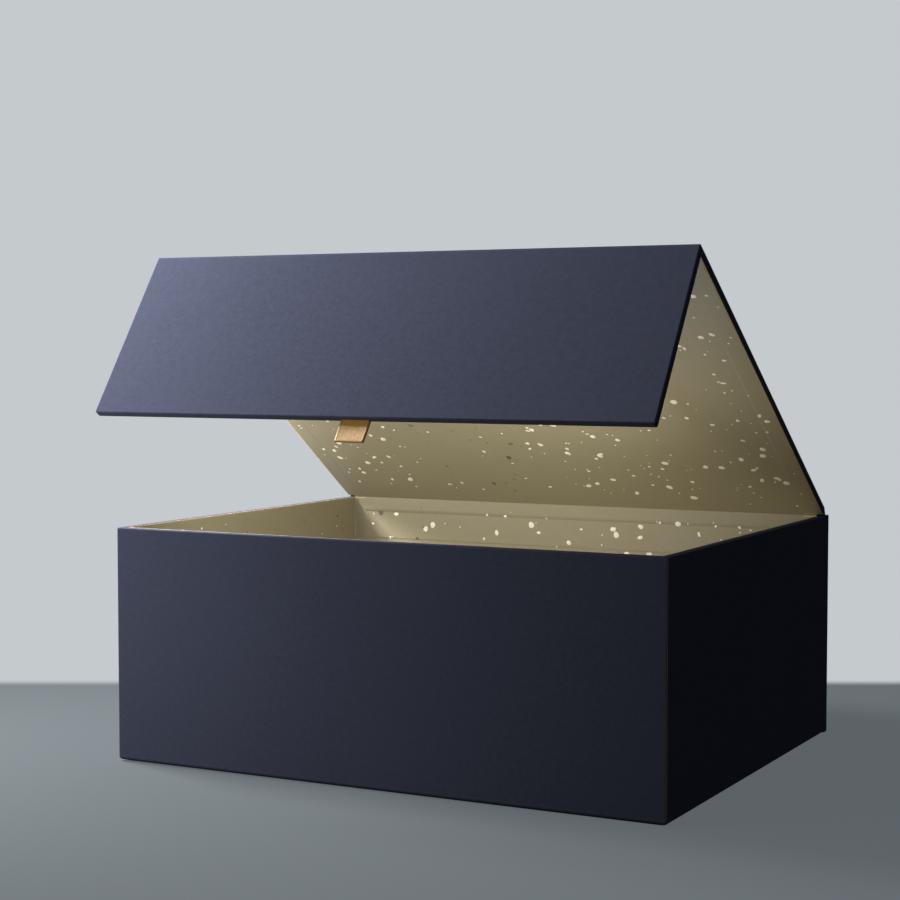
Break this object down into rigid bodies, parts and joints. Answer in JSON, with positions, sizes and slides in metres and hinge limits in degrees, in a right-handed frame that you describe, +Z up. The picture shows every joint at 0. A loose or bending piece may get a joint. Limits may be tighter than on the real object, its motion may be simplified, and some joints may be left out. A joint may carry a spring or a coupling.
{
  "type": "magnetic closure box",
  "caption": "Rigid paper-wrapped gift box whose hinged lid ends in a flap that magnets hold against the front wall, with a ribbon pull tab.",
  "frame": {"origin": "middle of the underside of the card on which the box stands", "axes": "+Z up, +X along the box's width to the right as seen from the front, -Y towards the front flap"},
  "size_m": [0.25, 0.2176, 0.2155],
  "materials": {
    "base_card": "matt black-blue card",
    "tray_board": "raw greyboard",
    "corner_stay_front_left": "gummed paper",
    "corner_stay_front_right": "gummed paper",
    "corner_stay_rear_left": "gummed paper",
    "corner_stay_rear_right": "gummed paper",
    "tray_wrap": "matt soft-touch paper",
    "tray_lining": "satin gold paper",
    "tray_flecks": "pale foil",
    "steel_disc_left": "plain steel",
    "steel_disc_right": "plain steel",
    "spine_board": "raw greyboard",
    "spine_wrap": "matt soft-touch paper",
    "hinge_lining": "satin gold paper",
    "lid_board": "raw greyboard",
    "lid_wrap": "matt soft-touch paper",
    "lid_lining": "satin gold paper",
    "lid_flecks": "pale foil",
    "flap_board": "raw greyboard",
    "flap_wrap": "matt soft-touch paper",
    "flap_lining": "satin gold paper",
    "flap_flecks": "pale foil",
    "magnet_left": "nickel-plated magnet",
    "magnet_right": "nickel-plated magnet",
    "ribbon_tab": "woven satin ribbon"
  },
  "bodies": {
    "tray": {"base_card": "base_card", "tray_board": "tray_board", "corner_stay_front_left": "corner_stay_front_left", "corner_stay_front_right": "corner_stay_front_right", "corner_stay_rear_left": "corner_stay_rear_left", "corner_stay_rear_right": "corner_stay_rear_right", "tray_wrap": "tray_wrap", "tray_lining": "tray_lining", "tray_flecks": "tray_flecks", "steel_disc_left": "steel_disc_left", "steel_disc_right": "steel_disc_right", "spine_board": "spine_board", "spine_wrap": "spine_wrap", "hinge_lining": "hinge_lining"},
    "lid": {"lid_board": "lid_board", "lid_wrap": "lid_wrap", "lid_lining": "lid_lining", "lid_flecks": "lid_flecks"},
    "flap": {"flap_board": "flap_board", "flap_wrap": "flap_wrap", "flap_lining": "flap_lining", "flap_flecks": "flap_flecks", "magnet_left": "magnet_left", "magnet_right": "magnet_right", "ribbon_tab": "ribbon_tab"}
  },
  "joints": [
    {"name": "lid_hinge", "type": "hinge", "parent": "tray", "child": "lid", "pos_m": [0, 0.093, 0.1022], "axis": [-1, 0, 0], "range_deg": [-34.5, 145.5]},
    {"name": "flap_hinge", "type": "hinge", "parent": "lid", "child": "flap", "pos_m": [0, -0.06866, 0.21549], "axis": [-1, 0, 0], "range_deg": [0, 90]}
  ]
}
